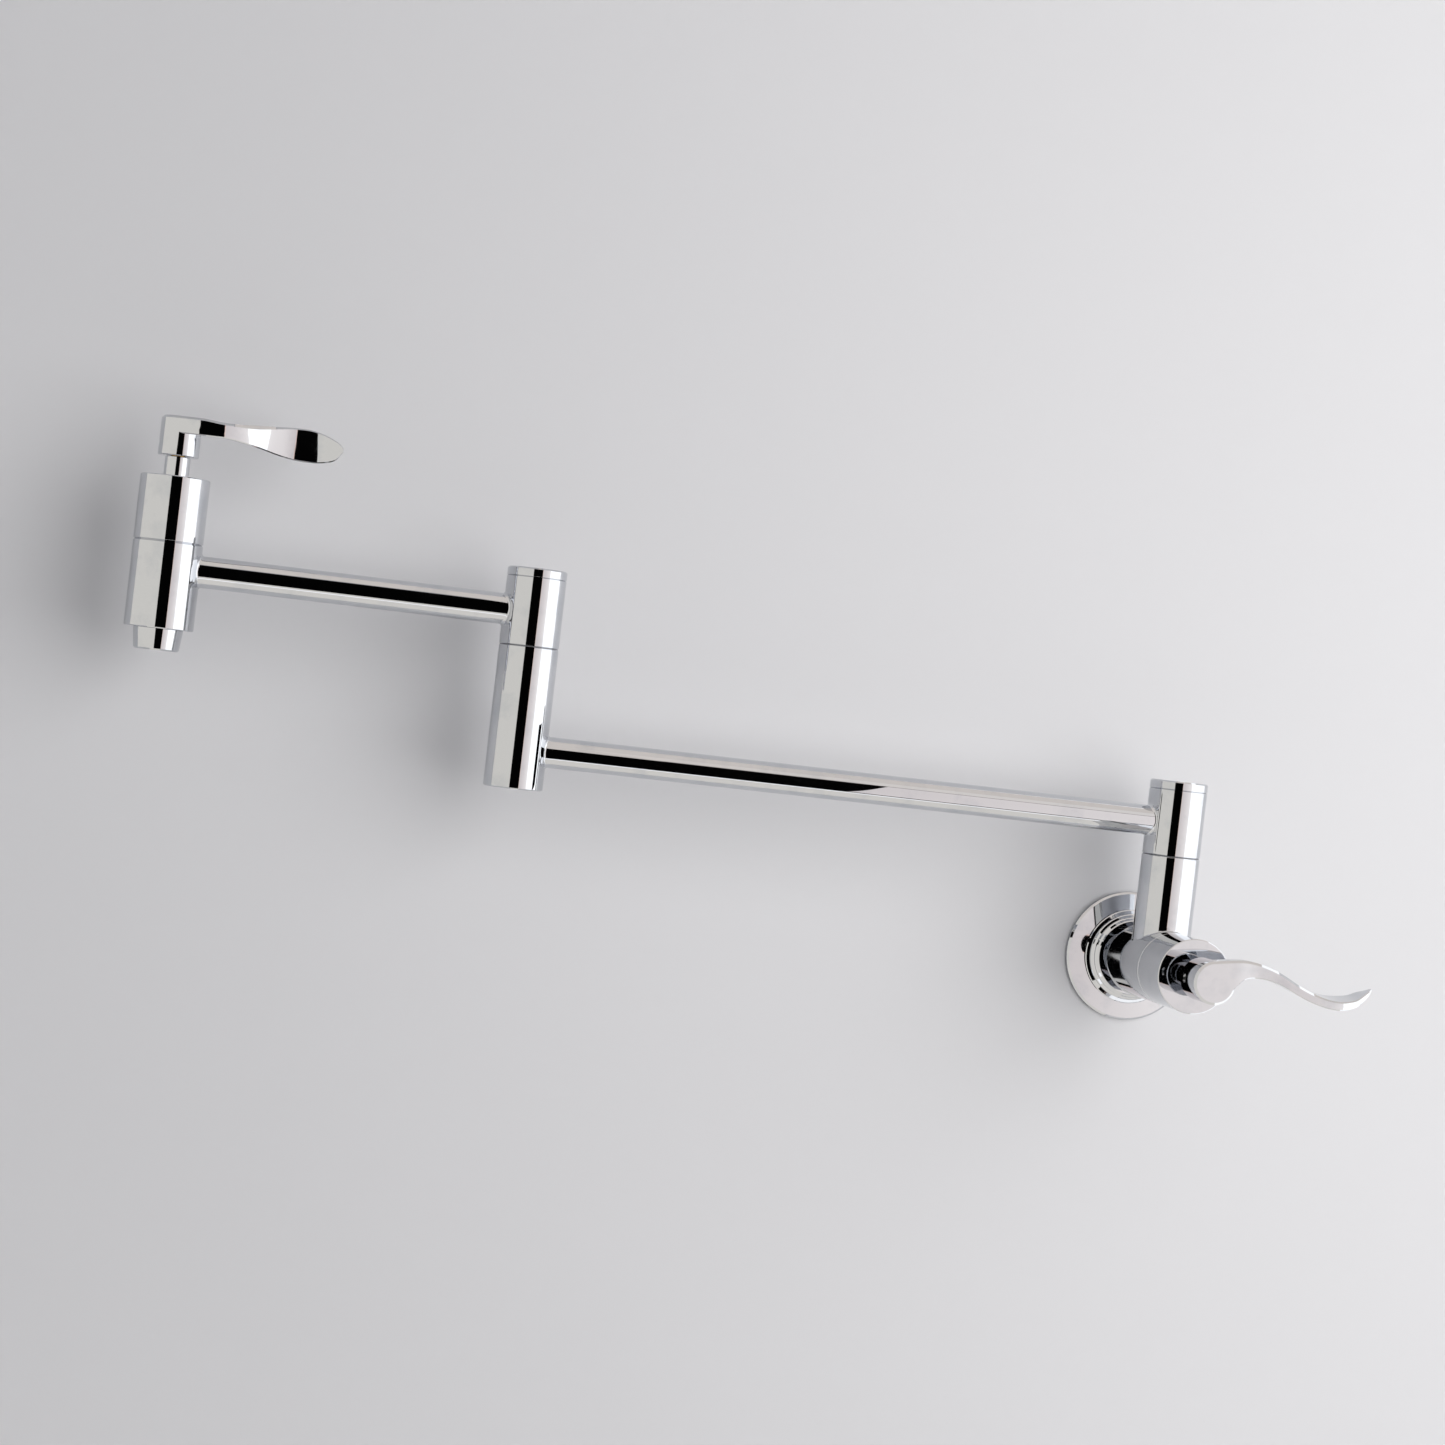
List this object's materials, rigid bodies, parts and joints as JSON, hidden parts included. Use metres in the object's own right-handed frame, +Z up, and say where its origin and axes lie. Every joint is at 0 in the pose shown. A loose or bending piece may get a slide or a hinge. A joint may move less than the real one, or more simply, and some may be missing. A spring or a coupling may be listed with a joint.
{
  "type": "wall mounted pot filler",
  "caption": "Wall mounted pot filler: stepped wall flange, lever valve, riser, two jointed swinging arms and a second lever valve over the aerator outlet.",
  "frame": {"origin": "centre of the threaded inlet at the wall plane, the escutcheon's back", "axes": "+Y into the wall along the inlet's axis, +Z up, +X to the right seen from the room; both arms lie along -X at rest"},
  "size_m": [0.7266, 0.1625, 0.2931],
  "materials": {
    "polished_chrome": "polished chrome plate over brass",
    "raw_brass": "machined brass, unplated",
    "nitrile_rubber": "moulded black rubber",
    "nylon": "dark grey nylon",
    "stainless_steel": "machined stainless steel",
    "acetal": "moulded white plastic",
    "alumina_ceramic": "lapped white ceramic"
  },
  "bodies": {
    "wall_body": {"escutcheon": "polished_chrome", "escutcheon_o_ring": "nitrile_rubber", "inlet_adapter": "polished_chrome", "valve_body": "polished_chrome", "valve_bonnet": "polished_chrome", "valve_stem_sleeve": "polished_chrome", "valve_cartridge_barrel": "raw_brass", "valve_seat_seal": "nitrile_rubber", "valve_fixed_disc": "alumina_ceramic", "valve_cartridge_o_ring": "nitrile_rubber", "valve_cartridge_nut": "raw_brass", "riser_spindle": "raw_brass", "riser_o_rings": "nitrile_rubber", "riser_swivel_washer": "nylon", "riser_thrust_washer": "stainless_steel", "riser_retaining_nut": "raw_brass"},
    "valve_handle": {"valve_lever": "polished_chrome", "valve_set_screw": "stainless_steel", "valve_stem": "raw_brass", "valve_moving_disc": "alumina_ceramic"},
    "long_arm": {"long_arm_sleeve": "polished_chrome", "riser_cap": "polished_chrome", "long_tube": "polished_chrome", "mid_lower_sleeve": "polished_chrome", "mid_spindle": "raw_brass", "mid_o_rings": "nitrile_rubber", "mid_swivel_washer": "nylon", "mid_thrust_washer": "stainless_steel", "mid_retaining_nut": "raw_brass"},
    "short_arm": {"short_arm_sleeve": "polished_chrome", "mid_cap": "polished_chrome", "short_tube": "polished_chrome", "outlet_body": "polished_chrome", "outlet_bonnet": "polished_chrome", "outlet_stem_sleeve": "polished_chrome", "outlet_cartridge_barrel": "raw_brass", "outlet_seat_seal": "nitrile_rubber", "outlet_fixed_disc": "alumina_ceramic", "outlet_cartridge_o_ring": "nitrile_rubber", "outlet_cartridge_nut": "raw_brass", "aerator_housing": "polished_chrome", "aerator_insert": "acetal", "aerator_screen": "stainless_steel", "aerator_washer": "nitrile_rubber"},
    "outlet_handle": {"outlet_lever": "polished_chrome", "outlet_set_screw": "stainless_steel", "outlet_stem": "raw_brass", "outlet_moving_disc": "alumina_ceramic"}
  },
  "joints": [
    {"name": "valve_handle_turn", "type": "hinge", "parent": "wall_body", "child": "valve_handle", "pos_m": [0, -0.1235, 0], "axis": [0, -1, 0], "range_deg": [-90, 0]},
    {"name": "long_arm_swivel", "type": "hinge", "parent": "wall_body", "child": "long_arm", "pos_m": [0, -0.059, 0.066], "axis": [0, 0, 1], "range_deg": [-3, 183]},
    {"name": "short_arm_swivel", "type": "hinge", "parent": "long_arm", "child": "short_arm", "pos_m": [-0.4, -0.059, 0.14535], "axis": [0, 0, 1], "continuous": true},
    {"name": "outlet_handle_turn", "type": "hinge", "parent": "short_arm", "child": "outlet_handle", "pos_m": [-0.61, -0.059, 0.1801], "axis": [0, 0, 1], "range_deg": [-90, 0]}
  ]
}
